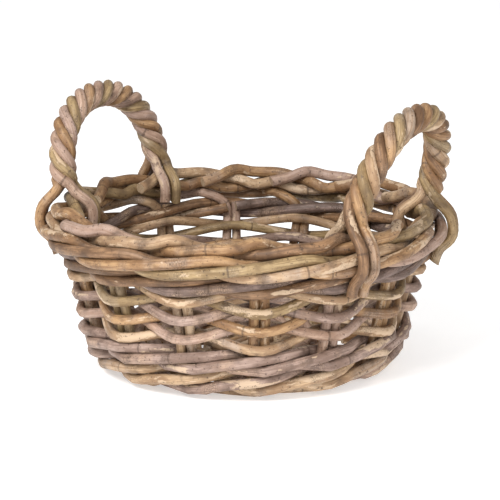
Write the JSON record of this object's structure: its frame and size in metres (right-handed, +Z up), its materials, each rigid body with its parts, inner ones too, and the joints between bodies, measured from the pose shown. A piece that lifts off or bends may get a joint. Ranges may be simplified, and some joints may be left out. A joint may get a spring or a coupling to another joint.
{
  "type": "woven basket",
  "caption": "Round shallow woven rattan basket with a leaning wall, a rolled border plaited from the stakes' own ends, and upright roped handles at opposite sides.",
  "frame": {"origin": "on the ground under the middle of the floor", "axes": "+Z up; the handles stand at +X and -X"},
  "size_m": [0.3933, 0.3948, 0.2684],
  "materials": {
    "honey_cane": "natural cane, low gloss",
    "grey_cane": "weathered grey cane, low gloss",
    "brown_cane": "brown cane, low gloss"
  },
  "bodies": {
    "root": {"border_stake_01": "honey_cane", "border_stake_02": "honey_cane", "border_stake_03": "honey_cane", "border_stake_04": "honey_cane", "border_stake_05": "honey_cane", "border_stake_06": "honey_cane", "border_stake_07": "honey_cane", "border_stake_08": "honey_cane", "border_stake_09": "honey_cane", "border_stake_10": "honey_cane", "border_stake_11": "honey_cane", "border_stake_12": "honey_cane", "border_stake_13": "honey_cane", "border_stake_14": "honey_cane", "bottom_wale_1": "honey_cane", "bottom_wale_2": "grey_cane", "floor_stick_cross_1": "brown_cane", "floor_stick_cross_2": "brown_cane", "floor_stick_cross_3": "brown_cane", "floor_stick_cross_4": "brown_cane", "floor_stick_long_1": "brown_cane", "floor_stick_long_2": "brown_cane", "floor_stick_long_3": "brown_cane", "floor_tie_1": "honey_cane", "floor_tie_2": "honey_cane", "floor_twine_1": "grey_cane", "floor_twine_2": "grey_cane", "foot_wale_1": "grey_cane", "foot_wale_2": "brown_cane", "left_handle_strand_1": "honey_cane", "left_handle_strand_2": "honey_cane", "left_handle_strand_3": "honey_cane", "left_handle_strand_4": "honey_cane", "middle_wale_1": "grey_cane", "plain_row_1": "honey_cane", "plain_row_2": "grey_cane", "plain_row_3": "brown_cane", "plain_row_4": "honey_cane", "plain_row_5": "grey_cane", "plain_row_6": "brown_cane", "right_handle_strand_1": "honey_cane", "right_handle_strand_2": "honey_cane", "right_handle_strand_3": "honey_cane", "right_handle_strand_4": "honey_cane", "short_stake_01": "brown_cane", "short_stake_02": "brown_cane", "short_stake_03": "brown_cane", "short_stake_04": "brown_cane", "short_stake_05": "brown_cane", "short_stake_06": "brown_cane", "short_stake_07": "brown_cane", "short_stake_08": "brown_cane", "short_stake_09": "brown_cane", "short_stake_10": "brown_cane", "short_stake_11": "brown_cane", "short_stake_12": "brown_cane", "short_stake_13": "brown_cane", "short_stake_14": "brown_cane", "top_wale_1": "grey_cane", "top_wale_2": "honey_cane"}
  },
  "joints": []
}
